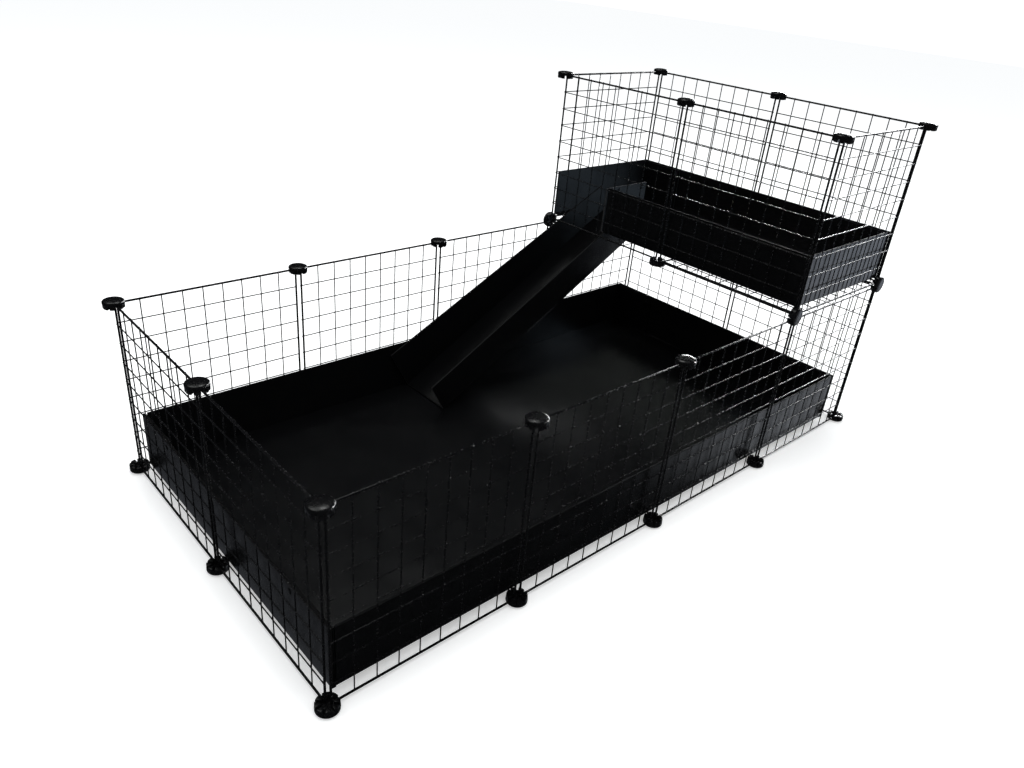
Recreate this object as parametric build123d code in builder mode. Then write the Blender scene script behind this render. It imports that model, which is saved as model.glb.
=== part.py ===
from build123d import *
import os
from math import atan2, cos, degrees, sin

# Modular wire-grid pet cage with a raised tray and a ramp. Millimetres, +Z up.
# The part stands on the flats of its lower connectors, with z = 0 on the table,
# and the origin is midway along the length and the width.

# Cage layout
columns = 4
rows = 2
loft_column = 3

# Wire grid panel: one frame of thick wire and two layers of thinner wire
panel_size = 355.0
frame_wire = 4.0
mesh_wire = 2.2
squares = 9
weld_gap = 0.1
frame_chamfer = 1.17

# Moulded connector: a domed cap over a ring of teeth
connector_gap = 8.0
cap_radius = 19.0
cap_flat_radius = 9.0
cap_depth = 6.5
cap_edge_depth = 4.4
cap_sides = 16
tooth_radius = 17.5
tooth_length = 9.0
slot_clearance = 0.2

# Fluted plastic sheet, cut, folded and riveted
sheet = 4.0
fold_gap = 0.3
seat_gap = 0.2
base_wall = 117.0
base_seat = 2.0
base_end_gap = 50.0
loft_wall = 111.0
loft_side_gap = 5.0
loft_inner_gap = 7.0
loft_outer_gap = 8.0
corner_flap = 125.0
flap_drop = 3.0

# Ramp: a folded channel that leans in the opening of the upper tray
ramp_foot = 630.0
ramp_width = 147.0
ramp_far_gap = 24.0
near_wall = 77.0
far_wall_low = 106.0
far_wall_high = 72.0
opening_reach = 184.0
opening_gap = 1.0
ramp_gap = 0.5
end_gap = 0.4
door_flap = 140.0

# Push rivets
rivet_head = 5.5
rivet_head_thick = 1.4
rivet_sides = 8
shaft_sides = 4
rivet_shaft = 3.0
rivet_hole_gap = 0.2
rivet_inset = 10.0
rivet_drop = 15.0
guard_rivets = [39.0, 124.0]
guard_rivet_drop = 9.0

# Places that follow from the sizes
frame_centre = panel_size - frame_wire
pitch = panel_size + connector_gap
half_gap = (connector_gap + frame_wire) / 2
mesh_pitch = frame_centre / squares
frame_inner = panel_size - 2 * frame_wire
cap_height = frame_wire / 2 + cap_depth
cap_slope = degrees(atan2(cap_radius - cap_flat_radius, cap_depth - cap_edge_depth))
base_z = cap_height
wall_top_z = base_z + frame_centre
loft_z = wall_top_z + half_gap
loft_bar_z = loft_z + half_gap
loft_top_z = loft_bar_z + frame_centre
slot = frame_wire + 2 * slot_clearance
prong_start = half_gap + slot / 2
os.makedirs("parts", exist_ok=True)


def column_x(i):
    return (i - columns / 2) * pitch


def row_y(j):
    return (j - rows / 2) * pitch


left_x = column_x(0)
inner_x = column_x(loft_column)
right_x = column_x(columns)
front_y = row_y(0)
back_y = row_y(rows)

# Wire grid panel, flat, its first layer of mesh on the +Z side
with BuildPart() as panel:
    with BuildSketch(Plane.XY.offset(-frame_wire / 2)):
        Rectangle(panel_size, panel_size)
        Rectangle(frame_inner, frame_inner, mode=Mode.SUBTRACT)
    extrude(amount=frame_wire)
    flat_edges = panel.edges().filter_by(Axis.Z, reverse=True)
    chamfer(flat_edges, frame_chamfer)
    bar_length = frame_inner - 2 * weld_gap
    layer = (mesh_wire + weld_gap) / 2
    start = -bar_length / 2
    across = Plane(origin=(start, 0, layer), x_dir=(0, 1, 0), z_dir=(1, 0, 0))
    with BuildSketch(across):
        with GridLocations(mesh_pitch, 1, squares - 1, 1):
            Rectangle(mesh_wire, mesh_wire)
    extrude(amount=bar_length)
    along = Plane(origin=(0, start, -layer), x_dir=(1, 0, 0), z_dir=(0, 1, 0))
    with BuildSketch(along):
        with GridLocations(mesh_pitch, 1, squares - 1, 1):
            Rectangle(mesh_wire, mesh_wire)
    extrude(amount=bar_length)

# Connector, its dome on the +Z side and the wires' centre line at z = 0.
# Three slots each way take wires that run through the middle or beside it.
with BuildPart() as connector:
    with BuildSketch(Plane.XY.offset(frame_wire / 2)):
        RegularPolygon(cap_radius, cap_sides)
    extrude(amount=cap_edge_depth)
    with BuildSketch(Plane.XY.offset(frame_wire / 2 + cap_edge_depth)):
        RegularPolygon(cap_radius, cap_sides)
    extrude(amount=cap_depth - cap_edge_depth, taper=cap_slope)
    with BuildSketch(Plane.XY.offset(frame_wire / 2)):
        RegularPolygon(tooth_radius, cap_sides)
        Rectangle(2 * prong_start, 2 * prong_start, mode=Mode.SUBTRACT)
        with GridLocations(half_gap, 1, 3, 1):
            Rectangle(slot, 3 * tooth_radius, mode=Mode.SUBTRACT)
        with GridLocations(1, half_gap, 1, 3):
            Rectangle(3 * tooth_radius, slot, mode=Mode.SUBTRACT)
    extrude(amount=-tooth_length)

# How far the thin teeth and the corner prongs reach from the centre
tooth_tips = connector.vertices().group_by(Axis.Z)[0]
fin_reach = tooth_tips.sort_by(Axis.Y)[-1].Y
prong_tips = tooth_tips.filter_by_position(Axis.X, half_gap, tooth_radius)
prong_reach = prong_tips.sort_by(Axis.Y)[-1].Y


def upright(x, y, z, outward):
    turned = {"front": (1, 0, 0), "back": (-1, 0, 0), "left": (0, -1, 0), "right": (0, 1, 0)}
    facing = {"front": (0, -1, 0), "back": (0, 1, 0), "left": (-1, 0, 0), "right": (1, 0, 0)}
    return Plane(origin=(x, y, z), x_dir=turned[outward], z_dir=facing[outward])


lower_z = base_z + frame_centre / 2
upper_z = loft_bar_z + frame_centre / 2
panels = {}
for i in range(columns):
    middle = column_x(i + 0.5)
    panels[f"front_panel_{i + 1}"] = upright(middle, front_y, lower_z, "front")
    panels[f"back_panel_{i + 1}"] = upright(middle, back_y, lower_z, "back")
for j in range(rows):
    side = ["front", "back"][j] if rows == 2 else str(j + 1)
    middle = row_y(j + 0.5)
    panels[f"left_panel_{side}"] = upright(left_x, middle, lower_z, "left")
    panels[f"right_panel_{side}"] = upright(right_x, middle, lower_z, "right")
    panels[f"loft_inner_panel_{side}"] = upright(inner_x, middle, upper_z, "left")
    panels[f"loft_right_panel_{side}"] = upright(right_x, middle, upper_z, "right")
loft_middle = column_x(loft_column + 0.5)
panels["loft_front_panel"] = upright(loft_middle, front_y, upper_z, "front")
panels["loft_back_panel"] = upright(loft_middle, back_y, upper_z, "back")
panels["loft_floor_panel"] = Plane(origin=(loft_middle, row_y(0.5), loft_z))

for name, place in panels.items():
    with BuildPart() as grid_panel:
        with Locations(place):
            add(panel.part)
    grid_panel.part.label = name
    export_step(grid_panel.part, f"parts/{name}.step")

up = (0, 0, 1)
down = (0, 0, -1)
rim = [(i, j) for i in range(columns + 1) for j in range(rows + 1)]
rim = [(i, j) for i, j in rim if i in (0, columns) or j in (0, rows)]
base_places = [Plane(origin=(column_x(i), row_y(j), base_z), z_dir=down) for i, j in rim]
wall_places = [
    Plane(origin=(column_x(i), row_y(j), wall_top_z), z_dir=up)
    for i, j in rim
    if i < loft_column
]
top_places = [
    Plane(origin=(column_x(i), row_y(j), loft_top_z), z_dir=up)
    for i in (loft_column, columns)
    for j in range(rows + 1)
]
side_places = [
    upright(inner_x, front_y, loft_z, "front"),
    upright(right_x, front_y, loft_z, "front"),
    upright(inner_x, back_y, loft_z, "back"),
    upright(right_x, back_y, loft_z, "back"),
    upright(right_x, row_y(1), loft_z, "right"),
    Plane(origin=(inner_x, row_y(1), loft_z), z_dir=down),
]

with BuildPart() as base_connectors:
    with Locations(*base_places):
        add(connector.part)
with BuildPart() as wall_connectors:
    with Locations(*wall_places):
        add(connector.part)
with BuildPart() as loft_floor_connectors:
    with Locations(*side_places):
        add(connector.part)
with BuildPart() as loft_top_connectors:
    with Locations(*top_places):
        add(connector.part)

# Lower tray: it lies on the teeth of the lower connectors
base_tray_z = base_z + tooth_length - frame_wire / 2 + seat_gap
base_inset = fin_reach - base_seat
base_x0 = left_x + base_inset
base_x1 = right_x - base_end_gap
base_y0 = front_y + base_inset
base_y1 = back_y - base_inset
base_length = base_x1 - base_x0
base_width = base_y1 - base_y0
base_floor_top = base_tray_z + sheet
base_centre = ((base_x0 + base_x1) / 2, (base_y0 + base_y1) / 2)
base_top = base_tray_z + base_wall
base_rivet_z = base_top - rivet_drop
base_rivet_y = [base_y0 + corner_flap - rivet_inset, base_y1 - corner_flap + rivet_inset]

with BuildPart() as base_tray:
    with BuildSketch(Plane.XY.offset(base_tray_z)):
        with Locations(base_centre):
            Rectangle(base_length, base_width)
    extrude(amount=base_wall)
    with BuildSketch(Plane.XY.offset(base_floor_top)):
        with Locations(base_centre):
            Rectangle(base_length - 2 * sheet, base_width - 2 * sheet)
    extrude(amount=base_wall, mode=Mode.SUBTRACT)
    flap_x = base_length / 2 - 1.5 * sheet - fold_gap
    flap_y = base_width / 2 - corner_flap / 2
    with BuildSketch(Plane.XY.offset(base_floor_top + fold_gap)):
        with Locations(base_centre):
            with GridLocations(2 * flap_x, 2 * flap_y, 2, 2):
                Rectangle(sheet, corner_flap)
    extrude(amount=base_wall - sheet - fold_gap - flap_drop)
    for y in base_rivet_y:
        with BuildSketch(Plane.YZ.offset(base_x0)):
            with Locations((y, base_rivet_z)):
                RegularPolygon(rivet_shaft + rivet_hole_gap, shaft_sides)
        extrude(amount=base_length, mode=Mode.SUBTRACT)

# Upper tray: it lies on the prongs of the connectors round the loft
loft_tray_z = loft_z + prong_reach + seat_gap
loft_floor_top = loft_tray_z + sheet
loft_top = loft_tray_z + loft_wall
loft_x0 = inner_x + loft_inner_gap
loft_x1 = right_x - loft_outer_gap
loft_y0 = front_y + loft_side_gap
loft_y1 = back_y - loft_side_gap
loft_length = loft_x1 - loft_x0
loft_width = loft_y1 - loft_y0
loft_centre = ((loft_x0 + loft_x1) / 2, (loft_y0 + loft_y1) / 2)
ramp_y1 = back_y - ramp_far_gap
ramp_y0 = ramp_y1 - ramp_width
opening_y0 = ramp_y0 - ramp_gap
opening_y1 = ramp_y1 + opening_gap
opening_x1 = loft_x0 + opening_reach
guard_y = opening_y0 - sheet
door_y = guard_y - fold_gap

loft_rivet_z = loft_top - rivet_drop
loft_rivet_y = [loft_y0 + corner_flap - rivet_inset, loft_y1 - corner_flap + rivet_inset]
guard_rivet_x = [loft_x0 + inset for inset in guard_rivets]
guard_rivet_z = loft_top - guard_rivet_drop
flap_height = loft_wall - sheet - fold_gap - flap_drop
flap_x0 = loft_x0 + 1.5 * sheet + fold_gap
flap_x1 = loft_x1 - 1.5 * sheet - fold_gap
flap_y0 = loft_y0 + corner_flap / 2
flap_y1 = loft_y1 - corner_flap / 2

with BuildPart() as loft_tray:
    with BuildSketch(Plane.XY.offset(loft_tray_z)):
        with Locations(loft_centre):
            Rectangle(loft_length, loft_width)
    extrude(amount=loft_wall)
    with BuildSketch(Plane.XY.offset(loft_floor_top)):
        with Locations(loft_centre):
            Rectangle(loft_length - 2 * sheet, loft_width - 2 * sheet)
    extrude(amount=loft_wall, mode=Mode.SUBTRACT)
    with BuildSketch(Plane.XY.offset(loft_floor_top + fold_gap)):
        with Locations((flap_x0, flap_y0), (flap_x1, flap_y0), (flap_x1, flap_y1)):
            Rectangle(sheet, corner_flap)
    extrude(amount=flap_height)
    # The doorway, whose strip of wall is folded inward as the guard's near layer
    doorway = loft_y1 - sheet - door_y
    with BuildSketch(Plane.XY.offset(loft_floor_top)):
        with Locations((loft_x0, door_y)):
            Rectangle(sheet, doorway, align=(Align.MIN, Align.MIN))
    extrude(amount=loft_wall, mode=Mode.SUBTRACT)
    with BuildSketch(Plane.XY.offset(loft_floor_top + fold_gap)):
        with Locations((loft_x0, door_y)):
            Rectangle(door_flap, sheet, align=(Align.MIN, Align.MAX))
    extrude(amount=loft_wall - sheet - fold_gap)
    # The opening in the floor, whose near edge is folded up as the far layer
    opening_width = opening_y1 - opening_y0
    with BuildSketch(Plane.XY.offset(loft_tray_z)):
        with Locations((loft_x0, opening_y0)):
            Rectangle(opening_reach, opening_width, align=(Align.MIN, Align.MIN))
    extrude(amount=sheet, mode=Mode.SUBTRACT)
    with BuildSketch(Plane.XY.offset(loft_tray_z)):
        with Locations((loft_x0, opening_y0)):
            Rectangle(door_flap - flap_drop, sheet, align=(Align.MIN, Align.MAX))
    extrude(amount=loft_wall - flap_drop)
    for y in loft_rivet_y:
        with BuildSketch(Plane.YZ.offset(loft_x0)):
            with Locations((y, loft_rivet_z)):
                RegularPolygon(rivet_shaft + rivet_hole_gap, shaft_sides)
        extrude(amount=loft_length, mode=Mode.SUBTRACT)
    with BuildSketch(Plane.XZ.offset(-opening_y0)):
        for x in guard_rivet_x:
            with Locations((x, guard_rivet_z)):
                RegularPolygon(rivet_shaft + rivet_hole_gap, shaft_sides)
    extrude(amount=2 * sheet + fold_gap, mode=Mode.SUBTRACT)

# Ramp: its lower end stands on the lower floor, and its upper end, flush with
# the upper floor, bears on the far edge of the opening.
ramp_x0 = left_x + ramp_foot
ramp_z0 = base_floor_top + seat_gap
ramp_x1 = opening_x1 - end_gap
ramp_run = ramp_x1 - ramp_x0
ramp_slope = atan2(loft_floor_top - sheet - ramp_z0, ramp_run)
ramp_length = ramp_run / cos(ramp_slope)
ramp_plane = Plane(
    origin=(ramp_x0, (ramp_y0 + ramp_y1) / 2, ramp_z0),
    x_dir=(cos(ramp_slope), 0, sin(ramp_slope)),
    z_dir=(-sin(ramp_slope), 0, cos(ramp_slope)),
)
with BuildPart() as ramp:
    with BuildSketch(ramp_plane):
        Rectangle(ramp_length, ramp_width, align=(Align.MIN, Align.CENTER))
    extrude(amount=far_wall_low)
    trough = ramp_plane.offset(sheet)
    with BuildSketch(trough):
        Rectangle(ramp_length, ramp_width - 2 * sheet, align=(Align.MIN, Align.CENTER))
    extrude(amount=far_wall_low, mode=Mode.SUBTRACT)
    with BuildSketch(ramp_plane.offset(near_wall)):
        with Locations((0, -ramp_width / 2)):
            Rectangle(ramp_length, sheet, align=(Align.MIN, Align.MIN))
    extrude(amount=far_wall_low, mode=Mode.SUBTRACT)
    side = Plane(origin=ramp_plane.origin, x_dir=ramp_plane.x_dir, z_dir=(0, -1, 0))
    with BuildSketch(side.offset(-ramp_width / 2)):
        with BuildLine():
            Polyline(
                (0, far_wall_low),
                (ramp_length, far_wall_low),
                (ramp_length, far_wall_high),
                close=True,
            )
        make_face()
    extrude(amount=sheet, mode=Mode.SUBTRACT)

# Push rivet: two heads and a shaft through two layers of sheet
rivet_grip = 2 * sheet + fold_gap
with BuildPart() as rivet:
    with BuildSketch(Plane.XY.offset(-rivet_grip / 2)):
        RegularPolygon(rivet_shaft, shaft_sides)
    extrude(amount=rivet_grip)
    with BuildSketch(Plane.XY.offset(rivet_grip / 2)):
        RegularPolygon(rivet_head, rivet_sides)
    extrude(amount=rivet_head_thick)
    with BuildSketch(Plane.XY.offset(-rivet_grip / 2)):
        RegularPolygon(rivet_head, rivet_sides)
    extrude(amount=-rivet_head_thick)


def across_wall(x, y, z):
    return Plane(origin=(x, y, z), x_dir=(0, 1, 0), z_dir=(1, 0, 0))


base_rivet_x = [base_x0 + rivet_grip / 2, base_x1 - rivet_grip / 2]
base_rivets_at = [
    across_wall(x, y, base_rivet_z) for x in base_rivet_x for y in base_rivet_y
]
loft_rivets_at = [
    across_wall(loft_x0 + rivet_grip / 2, loft_rivet_y[0], loft_rivet_z),
    across_wall(loft_x1 - rivet_grip / 2, loft_rivet_y[0], loft_rivet_z),
    across_wall(loft_x1 - rivet_grip / 2, loft_rivet_y[1], loft_rivet_z),
]
guard_middle = opening_y0 - rivet_grip / 2
guard_rivets_at = [
    Plane(origin=(x, guard_middle, guard_rivet_z), x_dir=(1, 0, 0), z_dir=(0, -1, 0))
    for x in guard_rivet_x
]
with BuildPart() as base_tray_rivets:
    with Locations(*base_rivets_at):
        add(rivet.part)
with BuildPart() as loft_tray_rivets:
    with Locations(*loft_rivets_at):
        add(rivet.part)
with BuildPart() as guard_rivet_pair:
    with Locations(*guard_rivets_at):
        add(rivet.part)

pieces = {
    "base_connectors": base_connectors,
    "wall_connectors": wall_connectors,
    "loft_floor_connectors": loft_floor_connectors,
    "loft_top_connectors": loft_top_connectors,
    "base_tray": base_tray,
    "base_tray_rivets": base_tray_rivets,
    "loft_tray": loft_tray,
    "loft_tray_rivets": loft_tray_rivets,
    "guard_rivets": guard_rivet_pair,
    "ramp": ramp,
}
for name, piece in pieces.items():
    piece.part.label = name
    export_step(piece.part, f"parts/{name}.step")
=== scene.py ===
import math

import bmesh
import bpy
from mathutils import Matrix, Vector


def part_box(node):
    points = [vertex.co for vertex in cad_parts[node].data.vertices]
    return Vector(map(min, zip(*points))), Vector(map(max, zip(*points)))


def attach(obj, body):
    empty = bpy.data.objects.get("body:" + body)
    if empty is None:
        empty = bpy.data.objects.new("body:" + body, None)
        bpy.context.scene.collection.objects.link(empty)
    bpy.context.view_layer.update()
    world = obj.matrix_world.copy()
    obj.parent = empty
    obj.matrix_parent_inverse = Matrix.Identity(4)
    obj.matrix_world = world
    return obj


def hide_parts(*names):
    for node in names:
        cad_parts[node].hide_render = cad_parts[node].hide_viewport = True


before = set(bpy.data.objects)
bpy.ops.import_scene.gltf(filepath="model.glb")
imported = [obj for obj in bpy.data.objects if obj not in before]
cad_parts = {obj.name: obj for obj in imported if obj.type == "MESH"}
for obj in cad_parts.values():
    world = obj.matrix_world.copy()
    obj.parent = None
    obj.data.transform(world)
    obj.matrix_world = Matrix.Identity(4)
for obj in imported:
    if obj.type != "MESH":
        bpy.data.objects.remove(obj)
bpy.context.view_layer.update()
MM = 0.001

# Materials
COAT_DARK = (0.0018, 0.0018, 0.002)
COAT_PALE = (0.0035, 0.0035, 0.004)
SHEET_DARK = (0.0014, 0.0015, 0.0017)
SHEET_PALE = (0.0026, 0.0027, 0.003)
# The first shade is the cut edges' plain colour. The second is lighter, a painted highlight that makes
# the ramp's and guard's cut edges look lit.
PLAIN_CUT = 0.004
PAINTED_LIT_CUT = 0.03
FLUTE_PITCH = 0.0045


def new_material(name):
    mat = bpy.data.materials.new(name)
    mat.use_nodes = True
    nt = mat.node_tree
    return mat, nt, nt.nodes["Principled BSDF"]


def node(nt, kind, **values):
    n = nt.nodes.new(kind)
    for key, value in values.items():
        if key in n.inputs:
            n.inputs[key].default_value = value
        else:
            setattr(n, key, value)
    return n


def noise(nt, scale, detail=3.0):
    n = node(nt, "ShaderNodeTexNoise", Scale=scale, Detail=detail)
    place_on_piece = node(nt, "ShaderNodeTexCoord").outputs["Object"]
    nt.links.new(place_on_piece, n.inputs["Vector"])
    return n.outputs["Fac"]


def spread(nt, value, low, high, from_low=0.3, from_high=0.7):
    n = node(nt, "ShaderNodeMapRange")
    nt.links.new(value, n.inputs["Value"])
    n.inputs["From Min"].default_value = from_low
    n.inputs["From Max"].default_value = from_high
    n.inputs["To Min"].default_value = low
    n.inputs["To Max"].default_value = high
    return n.outputs["Result"]


def mix_colour(nt, fac, a, b):
    n = node(nt, "ShaderNodeMix", data_type="RGBA")
    nt.links.new(fac, n.inputs[0])
    n.inputs[6].default_value = (*a, 1)
    n.inputs[7].default_value = (*b, 1)
    return n.outputs[2]


def patchy_colour(nt, bsdf, scale, dark, pale):
    nt.links.new(mix_colour(nt, noise(nt, scale), dark, pale), bsdf.inputs["Base Color"])


def bump(nt, bsdf, height, distance, strength=1.0, before=None):
    n = node(nt, "ShaderNodeBump", Strength=strength, Distance=distance)
    nt.links.new(height, n.inputs["Height"])
    if before is not None:
        nt.links.new(before, n.inputs["Normal"])
    nt.links.new(n.outputs["Normal"], bsdf.inputs["Normal"])
    return n.outputs["Normal"]


def coated_wire():
    mat, nt, b = new_material("coated_wire")
    patchy_colour(nt, b, 60.0, COAT_DARK, COAT_PALE)
    nt.links.new(spread(nt, noise(nt, 240.0), 0.2, 0.3), b.inputs["Roughness"])
    b.inputs["Specular IOR Level"].default_value = 0.55
    bump(nt, b, noise(nt, 900.0, 2.0), 0.00006, 0.5)
    return mat


def moulded_cap():
    mat, nt, b = new_material("moulded_cap")
    patchy_colour(nt, b, 45.0, COAT_DARK, COAT_PALE)
    nt.links.new(spread(nt, noise(nt, 180.0), 0.2, 0.32), b.inputs["Roughness"])
    b.inputs["Specular IOR Level"].default_value = 0.5
    bump(nt, b, noise(nt, 1400.0, 2.0), 0.00004, 0.6)
    return mat


def flute_wave(nt):
    """A cosine across the flutes, which follows the sheet's own UV map."""
    uv = node(nt, "ShaderNodeUVMap", uv_map="flutes").outputs["UV"]
    split = node(nt, "ShaderNodeSeparateXYZ")
    nt.links.new(uv, split.inputs[0])
    turn = node(nt, "ShaderNodeMath", operation="MULTIPLY")
    nt.links.new(split.outputs["X"], turn.inputs[0])
    turn.inputs[1].default_value = 2 * math.pi / FLUTE_PITCH
    wave = node(nt, "ShaderNodeMath", operation="COSINE")
    nt.links.new(turn.outputs[0], wave.inputs[0])
    return wave.outputs[0]


def fluted_sheet():
    mat, nt, b = new_material("fluted_sheet")
    patchy_colour(nt, b, 9.0, SHEET_DARK, SHEET_PALE)
    nt.links.new(spread(nt, noise(nt, 22.0), 0.2, 0.27), b.inputs["Roughness"])
    b.inputs["Specular IOR Level"].default_value = 0.5
    ribs = bump(nt, b, flute_wave(nt), 0.000012)
    bump(nt, b, noise(nt, 5.0, 1.0), 0.0012, 1.0, ribs)
    return mat


def cut_edge(name, shade):
    """A cut side of the sheet: walls of this shade, with painted shade in the hollow cells between
    them.
    """
    mat, nt, b = new_material(name)
    cells = spread(nt, flute_wave(nt), 0.0, 1.0, 0.2, 0.75)
    wall = (shade, shade, shade * 1.05)
    # the cells are hollow channels, and their darker colour is painted shade
    cell_shade = (shade / 4, shade / 4, shade / 4)
    nt.links.new(mix_colour(nt, cells, wall, cell_shade), b.inputs["Base Color"])
    b.inputs["Roughness"].default_value = 0.6
    b.inputs["Specular IOR Level"].default_value = 0.06
    bump(nt, b, cells, 0.0004, 0.5)
    return mat


WIRE = coated_wire()
CAP = moulded_cap()
SHEET = fluted_sheet()
EDGE = cut_edge("fluted_sheet_cut_edge", PLAIN_CUT)
# a lighter copy of the cut edge: painted highlight on the ramp's and guard's edges
PAINTED_LIT_EDGE = cut_edge("fluted_sheet_cut_edge_painted_lit", PAINTED_LIT_CUT)

# Mesh helpers
UP = Vector((0, 0, 1))
WELD_DISTANCE = 1e-6


def finish_mesh(bm, name, mats, angle):
    bmesh.ops.recalc_face_normals(bm, faces=bm.faces)
    me = bpy.data.meshes.new(name)
    bm.to_mesh(me)
    bm.free()
    for m in mats:
        me.materials.append(m)
    me.shade_smooth()
    me.set_sharp_from_angle(angle=math.radians(angle))
    return me


def scale_to_metres(bm):
    for v in bm.verts:
        v.co *= MM


def place(me, name, body, nodes, matrix=None):
    ob = bpy.data.objects.new(name, me)
    bpy.context.scene.collection.objects.link(ob)
    if matrix is not None:
        ob.matrix_world = matrix
    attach(ob, body)
    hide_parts(*nodes)
    return ob


def axes_at(centre, u, v, w):
    """The matrix that turns a piece's own x, y and z to u, v and w, at centre."""
    return Matrix.Translation(centre) @ Matrix((u, v, w)).transposed().to_4x4()


def circle(centre, u, v, radius, sides):
    turns = [2 * math.pi * i / sides for i in range(sides)]
    return [centre + (u * math.cos(t) + v * math.sin(t)) * radius for t in turns]


def rings_to_tube(bm, rings, closed=False):
    made = [[bm.verts.new(p) for p in ring] for ring in rings]
    pairs = list(zip(made, made[1:]))
    if closed:
        pairs.append((made[-1], made[0]))
    for a, b in pairs:
        for i in range(len(a)):
            j = (i + 1) % len(a)
            bm.faces.new((a[i], a[j], b[j], b[i]))
    if not closed:
        bm.faces.new(list(reversed(made[0])))
        bm.faces.new(made[-1])


def straight_wire(bm, start, end, radius, sides=10, round_end=0.6):
    start, end = Vector(start), Vector(end)
    along = (end - start).normalized()
    side = along.orthogonal().normalized()
    other = along.cross(side)
    # the last ring keeps the long faces' shading straight
    steps = [(0.0, 0.45), (round_end * 0.35, 0.82), (round_end, 1.0), (round_end + 1.0, 1.0)]
    length = (end - start).length
    stations = steps + [(length - d, k) for d, k in reversed(steps)]
    rings_to_tube(bm, [circle(start + along * d, side, other, radius * k, sides) for d, k in stations])


def square_ring(bm, half, corner, radius, sides=12, steps=5):
    rings = []
    inner = half - corner
    for quarter in range(4):
        cx = inner * (1 if quarter in (0, 3) else -1)
        cy = inner * (1 if quarter in (0, 1) else -1)
        for s in range(steps + 1):
            a = (quarter + s / steps) * math.pi / 2
            out = Vector((math.cos(a), math.sin(a), 0))
            rings.append(circle(Vector((cx, cy, 0)) + out * corner, out, UP, radius, sides))
    rings_to_tube(bm, rings, closed=True)


def weld(bm, centre, size):
    got = bmesh.ops.create_icosphere(bm, subdivisions=1, radius=1.0)
    for v in got["verts"]:
        v.co = Vector((v.co.x * size[0], v.co.y * size[1], v.co.z * size[2])) + Vector(centre)


def lathe(bm, profile, segments):
    """Turns a profile of radius and height round z. Points on the axis become one vertex."""
    rings = []
    for r, z in profile:
        if r == 0:
            rings.append([bm.verts.new((0, 0, z))])
        else:
            points = circle(UP * z, Vector((1, 0, 0)), Vector((0, 1, 0)), r, segments)
            rings.append([bm.verts.new(p) for p in points])
    for a, b in zip(rings, rings[1:]):
        for i in range(segments):
            j = (i + 1) % segments
            if len(a) == 1:
                bm.faces.new((a[0], b[i], b[j]))
            elif len(b) == 1:
                bm.faces.new((a[i], b[0], a[j]))
            else:
                bm.faces.new((a[i], b[i], b[j], a[j]))


def loose_solids(ob):
    """The points of each separate solid in a CAD node, in the order of its mesh."""
    bm = bmesh.new()
    bm.from_mesh(ob.data)
    bmesh.ops.remove_doubles(bm, verts=bm.verts, dist=WELD_DISTANCE)
    seen, solids = set(), []
    for first in bm.verts:
        if first in seen:
            continue
        seen.add(first)
        stack, points = [first], []
        while stack:
            vert = stack.pop()
            points.append(vert.co.copy())
            for edge in vert.link_edges:
                other = edge.other_vert(vert)
                if other not in seen:
                    seen.add(other)
                    stack.append(other)
        solids.append(points)
    bm.free()
    return solids


def extent(points):
    lo = Vector([min(p[i] for p in points) for i in range(3)])
    hi = Vector([max(p[i] for p in points) for i in range(3)])
    return lo, hi


# Wire grid panels
PANEL = 355.0
FRAME_WIRE = 2.0
FRAME_CORNER = 5.0
MESH_WIRE = 1.1
PAST_FRAME = 0.7
SQUARES = 9
CROSSING_WELD = (1.9, 1.9, 1.7)
SIDE_WELD = (1.9, 1.7, 2.0)
END_WELD = (1.7, 1.9, 2.0)
SIDE_WELD_LIFT = 0.7
THIN = 0.05
RIGHT_END = 0.5


def grid_panel_mesh():
    bm = bmesh.new()
    half = PANEL / 2 - FRAME_WIRE
    square_ring(bm, half, FRAME_CORNER, FRAME_WIRE)
    step = 2 * half / SQUARES
    reach = half + FRAME_WIRE + PAST_FRAME
    lines = [-half + step * (i + 1) for i in range(SQUARES - 1)]
    for c in lines:
        straight_wire(bm, (-reach, c, MESH_WIRE), (reach, c, MESH_WIRE), MESH_WIRE)
        straight_wire(bm, (c, -reach, -MESH_WIRE), (c, reach, -MESH_WIRE), MESH_WIRE)
    for a in lines:
        for b in lines:
            weld(bm, (a, b, 0), CROSSING_WELD)
        for s in (-half, half):
            weld(bm, (s, a, SIDE_WELD_LIFT), SIDE_WELD)
            weld(bm, (a, s, -SIDE_WELD_LIFT), END_WELD)
    scale_to_metres(bm)
    return finish_mesh(bm, "grid_panel", [WIRE], 60)


def panel_matrix(name):
    lo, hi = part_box(name)
    centre = (lo + hi) / 2
    size = hi - lo
    if size.z < THIN:
        return Matrix.Translation(centre)
    if size.y < THIN:
        out = -1 if centre.y < 0 else 1
        u, w = Vector((-out, 0, 0)), Vector((0, out, 0))
    else:
        out = 1 if centre.x > RIGHT_END else -1
        u, w = Vector((0, out, 0)), Vector((out, 0, 0))
    return axes_at(centre, u, w.cross(u), w)


grid_mesh = grid_panel_mesh()
for name in sorted(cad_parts):
    if "panel" in name:
        place(grid_mesh, name + "_wires", "cage", [name], panel_matrix(name))

# Connectors
CAP_HEIGHT = 8.5
CAP_PROFILE = [
    (0.0, CAP_HEIGHT),
    (4.0, 8.48),
    (8.0, 8.3),
    (12.0, 7.85),
    (15.0, 7.25),
    (17.0, 6.6),
    (18.2, 5.9),
    (18.8, 5.1),
    (19.0, 4.2),
    (19.0, 0.6),
    (18.85, 0.1),
    (18.4, -0.2),
    (17.6, -0.2),
    (0.0, -0.2),
]
TEETH = 8
TOOTH_INNER = 8.6
TOOTH_OUTER = 18.7
TOOTH_TOP = 2.1
TOOTH_TIP = -7.0
SLOT_HALF = 1.7
OUTSIDE_TEETH = 0.0182


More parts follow.
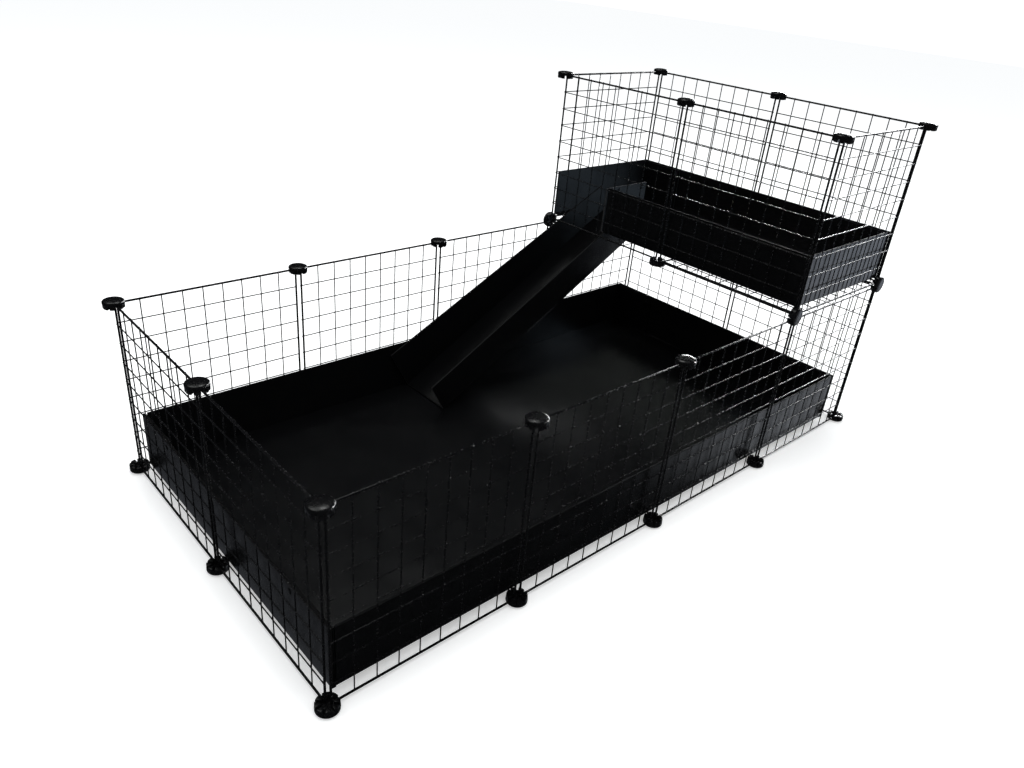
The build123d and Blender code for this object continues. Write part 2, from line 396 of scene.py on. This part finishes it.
def tooth(bm, outline, top, tip):
    """A wedge tooth that narrows towards its tip."""
    n = len(outline)
    cx = sum(p[0] for p in outline) / n
    cy = sum(p[1] for p in outline) / n
    rings = []
    for z, k in ((top, 1.0), (tip + 1.2, 0.98), (tip + 0.3, 0.9), (tip, 0.72)):
        rings.append([Vector((cx + (x - cx) * k, cy + (y - cy) * k, z)) for x, y in outline])
    rings_to_tube(bm, rings)


def tooth_arc(radius, turn, steps):
    """One side of a tooth, short of the slots beside it by half their width."""
    margin = math.asin(SLOT_HALF / radius)
    low = turn * 2 * math.pi / TEETH + margin
    high = (turn + 1) * 2 * math.pi / TEETH - margin
    arc = [low + (high - low) * i / steps for i in range(steps + 1)]
    return [(radius * math.cos(t), radius * math.sin(t)) for t in arc]


def connector_mesh():
    bm = bmesh.new()
    lathe(bm, CAP_PROFILE, 48)
    for turn in range(TEETH):
        outline = tooth_arc(TOOTH_INNER, turn, 3) + tooth_arc(TOOTH_OUTER, turn, 6)[::-1]
        tooth(bm, outline, TOOTH_TOP, TOOTH_TIP)
    scale_to_metres(bm)
    return finish_mesh(bm, "connector", [CAP], 40)


def connector_matrix(points):
    """Seats the dome where the CAD cap has its own: only the cap reaches outside the teeth."""
    lo, hi = extent(points)
    mid = (lo + hi) / 2
    axis = min(range(3), key=lambda i: hi[i] - lo[i])
    flat = [i for i in range(3) if i != axis]
    caps = [p for p in points if math.hypot(*(p[i] - mid[i] for i in flat)) > OUTSIDE_TEETH]
    sign = 1 if sum(p[axis] for p in caps) / len(caps) > mid[axis] else -1
    w = Vector([sign if i == axis else 0 for i in range(3)])
    centre = mid.copy()
    centre[axis] = (hi[axis] if sign > 0 else lo[axis]) - sign * CAP_HEIGHT * MM
    u = UP if axis != 2 else Vector((1, 0, 0))
    return axes_at(centre, u, w.cross(u), w)


connector = connector_mesh()
for name in sorted(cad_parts):
    if "connectors" not in name:
        continue
    for number, points in enumerate(loose_solids(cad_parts[name]), 1):
        place(connector, f"{name}_{number}", "cage", [name], connector_matrix(points))

# Folded sheets
T = 4.0
HALF = T / 2
BEND = 2.5
LIP = 8.7
FLAP = 125.0
FLAP_DROP = 3.0
FOLD_GAP = 0.3
NEAR_RAMP_GAP = 0.5
FAR_RAMP_GAP = 1.0
OPENING_REACH = 184.0
FLOOR_STRIP = 137.0
WALL_STRIP = 140.0
EDGE_BEVEL = 0.35
TOUCH = 0.1
TOP_BAND = 0.5


def rounded_path(points, radius, steps=6):
    """A polyline in 2-D with each inner corner, a square one, turned into an arc."""
    out = [Vector(points[0])]
    for a, b, c in zip(points, points[1:], points[2:]):
        a, b, c = Vector(a), Vector(b), Vector(c)
        d1, d2 = (b - a).normalized(), (c - b).normalized()
        turn = d1.x * d2.y - d1.y * d2.x
        n1 = Vector((-d1.y, d1.x)) * (1 if turn > 0 else -1)
        centre = b - d1 * radius + n1 * radius
        for i in range(steps + 1):
            t = i / steps * math.pi / 2
            out.append(centre - n1 * math.cos(t) * radius + d1 * math.sin(t) * radius)
    out.append(Vector(points[-1]))
    return out


def flute_layer(bm):
    return bm.loops.layers.uv.get("flutes") or bm.loops.layers.uv.new("flutes")


def bent_sheet(bm, path, lift, start, end, across_path=True, cut_index=1):
    """Extrudes a bent strip of sheet. lift(a, b, e) turns profile and length into x, y, z."""
    uv = flute_layer(bm)
    pts = rounded_path(path, BEND)
    left, right, run = [], [], [0.0]
    for i, p in enumerate(pts):
        before = (p - pts[i - 1]) if i else (pts[1] - p)
        after = (pts[i + 1] - p) if i + 1 < len(pts) else before
        d = (before.normalized() + after.normalized()).normalized()
        n = Vector((-d.y, d.x))
        left.append(p + n * HALF)
        right.append(p - n * HALF)
        if i:
            run.append(run[-1] + before.length)
    spots = [start, end]
    grid = {}
    for side, line in (("l", left), ("r", right)):
        for i, p in enumerate(line):
            for k, e in enumerate(spots):
                grid[side, i, k] = bm.verts.new(Vector(lift(p.x, p.y, e)) * MM)

    def face(keys, cut):
        f = bm.faces.new([grid[k] for k in keys])
        f.material_index = cut_index if cut else 0
        for loop, (_, i, k) in zip(f.loops, keys):
            s, e = run[i] * MM, spots[k] * MM
            loop[uv].uv = (s, e) if across_path else (e, s)

    last = len(pts) - 1
    for i in range(last):
        face([("l", i, 0), ("l", i + 1, 0), ("l", i + 1, 1), ("l", i, 1)], False)
        face([("r", i, 0), ("r", i, 1), ("r", i + 1, 1), ("r", i + 1, 0)], False)
        for k in (0, 1):
            face([("l", i, k), ("r", i, k), ("r", i + 1, k), ("l", i + 1, k)], True)
    for i in (0, last):
        face([("l", i, 0), ("l", i, 1), ("r", i, 1), ("r", i, 0)], True)


def flat_plate(bm, outline, low):
    """A flat piece of sheet, whose underside is at low and whose flutes run along x."""
    uv = flute_layer(bm)
    bottom = [bm.verts.new((x * MM, y * MM, low * MM)) for x, y in outline]
    top = [bm.verts.new((x * MM, y * MM, (low + T) * MM)) for x, y in outline]
    faces = [bm.faces.new(top), bm.faces.new(list(reversed(bottom)))]
    for i in range(len(outline)):
        j = (i + 1) % len(outline)
        f = bm.faces.new((bottom[i], bottom[j], top[j], top[i]))
        f.material_index = 1
        faces.append(f)
    for f in faces:
        for loop in f.loops:
            c = loop.vert.co
            loop[uv].uv = (c.y, c.x)


def in_yz(a, b, e):
    return (e, a, b)


def in_xz(a, b, e):
    return (a, e, b)


def in_xy(a, b, e):
    return (a, b, e)


def upturned(edge, inward, low, top):
    """The profile of a wall that is folded up from the floor at this edge."""
    fold = edge + inward * HALF
    return [(edge + inward * LIP, low + HALF), (fold, low + HALF), (fold, top)]


def corner_flap(bm, edge, inward, side, turn, low, top):
    """A long wall's end, folded round the corner to lie inside the end wall."""
    line = edge + inward * (1.5 * T + FOLD_GAP)
    wall = side + turn * HALF
    path = [(edge + inward * LIP, wall), (line, wall), (line, side + turn * FLAP)]
    bent_sheet(bm, path, in_xy, low + T + FOLD_GAP, top - FLAP_DROP, across_path=False)


def sheet_object(bm, name, body, nodes, cut=EDGE):
    # slot 2 is the lighter cut edge, a painted highlight
    me = finish_mesh(bm, name, [SHEET, cut, PAINTED_LIT_EDGE], 50)
    ob = place(me, name, body, nodes)
    mod = ob.modifiers.new("edge", "BEVEL")
    mod.width = EDGE_BEVEL * MM
    mod.segments = 2
    mod.limit_method = "ANGLE"
    mod.angle_limit = math.radians(60)
    mod.harden_normals = True


def mm_box(name):
    lo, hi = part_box(name)
    return [c / MM for c in lo], [c / MM for c in hi]


def base_tray():
    (x0, y0, z0), (x1, y1, z1) = mm_box("base_tray")
    a, b, c, d = x0 + LIP, x1 - LIP, y0 + LIP, y1 - LIP
    bm = bmesh.new()
    flat_plate(bm, [(a, c), (b, c), (b, d), (a, d)], z0)
    for edge, inward in ((y0, 1), (y1, -1)):
        bent_sheet(bm, upturned(edge, inward, z0, z1), in_yz, a, b)
    for edge, inward in ((x0, 1), (x1, -1)):
        bent_sheet(bm, upturned(edge, inward, z0, z1), in_xz, y0, y1, across_path=False)
        for side, turn in ((y0, 1), (y1, -1)):
            corner_flap(bm, edge, inward, side, turn, z0, z1)
    sheet_object(bm, "base_tray_folded", "cage", ["base_tray"])


def loft_tray():
    (x0, y0, z0), (x1, y1, z1) = mm_box("loft_tray")
    ramp_lo, ramp_hi = mm_box("ramp")
    near, far = ramp_lo[1] - NEAR_RAMP_GAP, ramp_hi[1] + FAR_RAMP_GAP
    reach, strip = x0 + OPENING_REACH, x0 + FLOOR_STRIP
    door = near - T - FOLD_GAP
    fold = near - LIP
    a, b, c, d = x0 + LIP, x1 - LIP, y0 + LIP, y1 - LIP
    # the floor, round the opening and the strip that is folded up beside it
    outline = [(a, c), (b, c), (b, d), (x0, d), (x0, far), (reach, far), (reach, near)]
    outline += [(strip, near), (strip, fold), (x0, fold), (x0, door - LIP), (a, door - LIP)]
    bm = bmesh.new()
    flat_plate(bm, outline, z0)
    bent_sheet(bm, upturned(y0, 1, z0, z1), in_yz, a, b)
    bent_sheet(bm, upturned(y1, -1, z0, z1), in_yz, x0, b)
    bent_sheet(bm, upturned(x1, -1, z0, z1), in_xz, y0, y1, across_path=False)
    bent_sheet(bm, upturned(x0, 1, z0, z1), in_xz, y0, door - LIP, across_path=False)
    # the guard: wall strip folded inward, and floor strip folded up against it
    wall = door - HALF
    path = [(x0 + HALF, door - LIP), (x0 + HALF, wall), (x0 + WALL_STRIP, wall)]
    # the guard's cut sides (cut_index 2) take the lighter cut edge, a painted highlight
    bent_sheet(bm, path, in_xy, z0 + T + FOLD_GAP, z1, across_path=False, cut_index=2)
    path = [(fold, z0 + HALF), (near - HALF, z0 + HALF), (near - HALF, z1 - FLAP_DROP)]
    bent_sheet(bm, path, in_yz, x0, strip, cut_index=2)
    for edge, inward, side, turn in ((x0, 1, y0, 1), (x1, -1, y0, 1), (x1, -1, y1, -1)):
        corner_flap(bm, edge, inward, side, turn, z0, z1)
    sheet_object(bm, "loft_tray_folded", "raised_tray", ["loft_tray"])


def ramp():
    """The folded channel, in its own tilted frame: s along the slope, y across, n square to it."""
    lo, hi = mm_box("ramp")
    y0, y1 = lo[1], hi[1]
    pts = [v.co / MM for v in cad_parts["ramp"].data.vertices]
    low = min(pts, key=lambda p: p.z)
    far = max(pts, key=lambda p: p.x)
    slope = math.atan2(far.z - low.z, far.x - low.x)
    ux, uz = math.cos(slope), math.sin(slope)

    def tilted(p):
        x, z = p.x - low.x, p.z - low.z
        return x * ux + z * uz, z * ux - x * uz

    def lift(a, b, e):
        return (low.x + e * ux - b * uz, a, low.z + e * uz + b * ux)

    length = tilted(far)[0]

    def wall_height(y, at_start):
        spots = [tilted(p) for p in pts if abs(p.y - y) < TOUCH]
        return max(n for s, n in spots if (s < length / 2) == at_start)

    near_h = wall_height(y0, True)
    far_low, far_high = wall_height(y1, True), wall_height(y1, False)
    bm = bmesh.new()
    path = [(y0 + HALF, near_h), (y0 + HALF, HALF), (y1 - HALF, HALF), (y1 - HALF, far_low)]
    bent_sheet(bm, path, lift, 0.0, length)
    # the far wall tapers: its upper end comes down to its height there
    drop = far_low - far_high
    for v in bm.verts:
        p = v.co / MM
        s, n = tilted(p)
        if p.y > y1 - T - TOUCH and n > far_low - TOP_BAND and s > length / 2:
            v.co = Vector((p.x + drop * uz, p.y, p.z - drop * ux)) * MM
    # the ramp's cut sides take the lighter cut edge, a painted highlight
    sheet_object(bm, "ramp_channel", "cage", ["ramp"], PAINTED_LIT_EDGE)


base_tray()
loft_tray()
ramp()

# Rivets
HEAD = [
    (0.0, 5.7),
    (2.0, 5.68),
    (3.6, 5.55),
    (4.7, 5.25),
    (5.3, 4.85),
    (5.5, 4.5),
    (5.45, 4.2),
    (5.2, 4.15),
    (0.0, 4.15),
]
SHANK_RADIUS = 2.8
SHANK_HALF = 4.3
SHANK = [(0.0, SHANK_HALF), (SHANK_RADIUS, SHANK_HALF), (SHANK_RADIUS, -SHANK_HALF), (0.0, -SHANK_HALF)]
RIVETS = {
    "base_tray_rivets": ("cage", "Y"),
    "loft_tray_rivets": ("raised_tray", "Y"),
    "guard_rivets": ("raised_tray", "X"),
}


def rivet_mesh():
    bm = bmesh.new()
    lathe(bm, HEAD, 32)
    lathe(bm, [(r, -z) for r, z in HEAD], 32)
    lathe(bm, SHANK, 16)
    scale_to_metres(bm)
    return finish_mesh(bm, "rivet", [CAP], 40)


rivet = rivet_mesh()
for name, (body, hinge) in RIVETS.items():
    turn = Matrix.Rotation(math.pi / 2, 4, hinge)
    for number, points in enumerate(loose_solids(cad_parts[name]), 1):
        lo, hi = extent(points)
        matrix = Matrix.Translation((lo + hi) / 2) @ turn
        place(rivet, f"{name}_{number}", body, [name], matrix)

# Floor, which gives off some light of its own to every ray
FLOOR_GLOW = 0.36

floor_mat, nt, b = new_material("floor")
b.inputs["Base Color"].default_value = (0.9, 0.905, 0.9, 1)
b.inputs["Roughness"].default_value = 0.9
b.inputs["Specular IOR Level"].default_value = 0.0
b.inputs["Emission Color"].default_value = (1.0, 1.0, 0.99, 1)
b.inputs["Emission Strength"].default_value = FLOOR_GLOW
bpy.ops.mesh.primitive_plane_add(size=30)
floor = bpy.context.object
floor.name = "floor"
floor.data.materials.append(floor_mat)
floor.visible_glossy = False

# World: white to the camera, plain to other rays, and dark with bright spots to glossy rays.
# Azimuth from +X, elevation, the spot's full and outer radius, all in degrees, and its colour.
SURROUND = (0.008, 0.009, 0.01)
SPOTS = [
    (15, 8, 6, 11, (24, 24.5, 25)),
    (29, -2, 4, 8, (36, 36.5, 37)),
    (-4, 29, 4, 8, (60, 60.5, 61)),
    (52, 60, 4, 8, (6, 6.1, 6)),
    (-22, -13, 6, 11, (0.86, 0.94, 1.08)),
    (-23, -27, 4, 10, (0.7, 0.74, 0.8)),
    (112, -40, 10, 32, (0.08, 0.085, 0.095)),
    (36, 25, 3, 12, (0.1, 0.11, 0.1)),
    (100, 62, 8, 16, (1.6, 1.65, 1.6)),
]
SEEN_STRENGTH = 1.1
FILL_STRENGTH = 0.7
FILL_COLOUR = (0.95, 0.97, 1, 1)

world = bpy.data.worlds.new("studio")
bpy.context.scene.world = world
world.use_nodes = True
nt = world.node_tree
nt.nodes.clear()
out = node(nt, "ShaderNodeOutputWorld")
rays = node(nt, "ShaderNodeLightPath")
heading = node(nt, "ShaderNodeTexCoord").outputs["Generated"]


def spot(azimuth, elevation, inner, outer, colour):
    """A round light with a soft rim, at this heading in the world."""
    a, e = math.radians(azimuth), math.radians(elevation)
    dot = node(nt, "ShaderNodeVectorMath", operation="DOT_PRODUCT")
    nt.links.new(heading, dot.inputs[0])
    dot.inputs[1].default_value = (math.cos(a) * math.cos(e), math.sin(a) * math.cos(e), math.sin(e))
    rim = node(nt, "ShaderNodeMapRange", interpolation_type="SMOOTHSTEP")
    nt.links.new(dot.outputs["Value"], rim.inputs["Value"])
    rim.inputs["From Min"].default_value = math.cos(math.radians(outer))
    rim.inputs["From Max"].default_value = math.cos(math.radians(inner))
    scaled = node(nt, "ShaderNodeVectorMath", operation="SCALE")
    scaled.inputs[0].default_value = colour
    nt.links.new(rim.outputs["Result"], scaled.inputs["Scale"])
    return scaled.outputs[0]


def switch(ray, otherwise, shader):
    """Shows shader to this kind of ray and the other shader to the rest."""
    mix = node(nt, "ShaderNodeMixShader")
    nt.links.new(rays.outputs[ray], mix.inputs[0])
    nt.links.new(otherwise, mix.inputs[1])
    nt.links.new(shader, mix.inputs[2])
    return mix.outputs[0]


mirrored = None
for values in SPOTS:
    joined = node(nt, "ShaderNodeVectorMath", operation="ADD")
    nt.links.new(spot(*values), joined.inputs[0])
    if mirrored is None:
        joined.inputs[1].default_value = SURROUND
    else:
        nt.links.new(mirrored, joined.inputs[1])
    mirrored = joined.outputs[0]

seen = node(nt, "ShaderNodeBackground", Color=(1, 1, 1, 1), Strength=SEEN_STRENGTH)
fill = node(nt, "ShaderNodeBackground", Color=FILL_COLOUR, Strength=FILL_STRENGTH)
shine = node(nt, "ShaderNodeBackground")
nt.links.new(mirrored, shine.inputs["Color"])
unseen = switch("Is Glossy Ray", fill.outputs[0], shine.outputs[0])
nt.links.new(switch("Is Camera Ray", unseen, seen.outputs[0]), out.inputs["Surface"])


# Lamps
def area_light(name, where, target, size, power, colour=(1, 1, 1)):
    data = bpy.data.lights.new(name, "AREA")
    data.shape = "RECTANGLE"
    data.size = data.size_y = size
    data.energy = power
    data.color = colour
    ob = bpy.data.objects.new(name, data)
    bpy.context.scene.collection.objects.link(ob)
    ob.location = where
    ob.rotation_euler = (Vector(target) - Vector(where)).to_track_quat("-Z", "Y").to_euler()
    return ob


overhead = area_light("overhead", (0.3, 0.4, 4.2), (0.1, 0, 0), 4.0, 130)
overhead.visible_glossy = False
# A blue-grey sheen on the raised tray's back wall, its guard and the ramp's far wall. It shows in
# reflections only, and it casts no shadows, so it passes through the tray that stands in its way.
sheen = area_light("sheen", (0.91, -0.1, 0.335), (0.42, 0.358, 0.48), 0.16, 0.24, (0.66, 0.83, 1.0))
sheen.data.use_shadow = False
sheen.visible_diffuse = False

# Camera, fitted to the photograph
CAMERA_LENS = 28.1566
CAMERA_PLACE = (-1.11164, -1.07194, 0.97071)
CAMERA_RIGHT = Vector((0.745453, -0.66117, 0.084588))
CAMERA_UP = Vector((0.259179, 0.404428, 0.877077))

cam_data = bpy.data.cameras.new("camera")
cam_data.sensor_width = 36.0
cam_data.lens = CAMERA_LENS
cam_data.clip_start = 0.05
cam_data.clip_end = 60
cam = bpy.data.objects.new("camera", cam_data)
bpy.context.scene.collection.objects.link(cam)
cam.matrix_world = axes_at(CAMERA_PLACE, CAMERA_RIGHT, CAMERA_UP, CAMERA_RIGHT.cross(CAMERA_UP))
bpy.context.scene.camera = cam
bpy.context.scene.view_settings.view_transform = "Standard"
